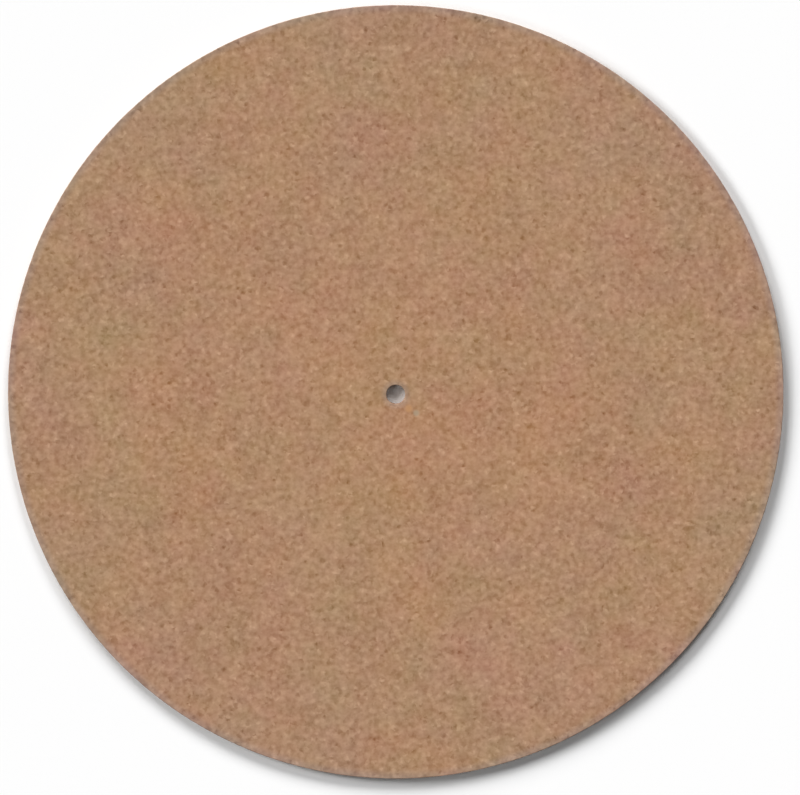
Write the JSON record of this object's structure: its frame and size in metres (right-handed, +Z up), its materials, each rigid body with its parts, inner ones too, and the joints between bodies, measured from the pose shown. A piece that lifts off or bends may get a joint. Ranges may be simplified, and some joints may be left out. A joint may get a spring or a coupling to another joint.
{
  "type": "turntable platter mat",
  "caption": "Flat round cork mat that lies on a record player's platter under the record, with a plain spindle hole at its centre.",
  "frame": {"origin": "centre of the underside, where the spindle's axis meets the platter", "axes": "+Z up along the spindle's axis, from the platter to the record; X and Y lie in the disc's plane and are equal by symmetry"},
  "size_m": [0.3, 0.3, 0.003],
  "materials": {
    "cork": "sanded fine-grained agglomerated cork, unsealed and matte"
  },
  "bodies": {
    "root": {"cork_mat": "cork"}
  },
  "joints": []
}
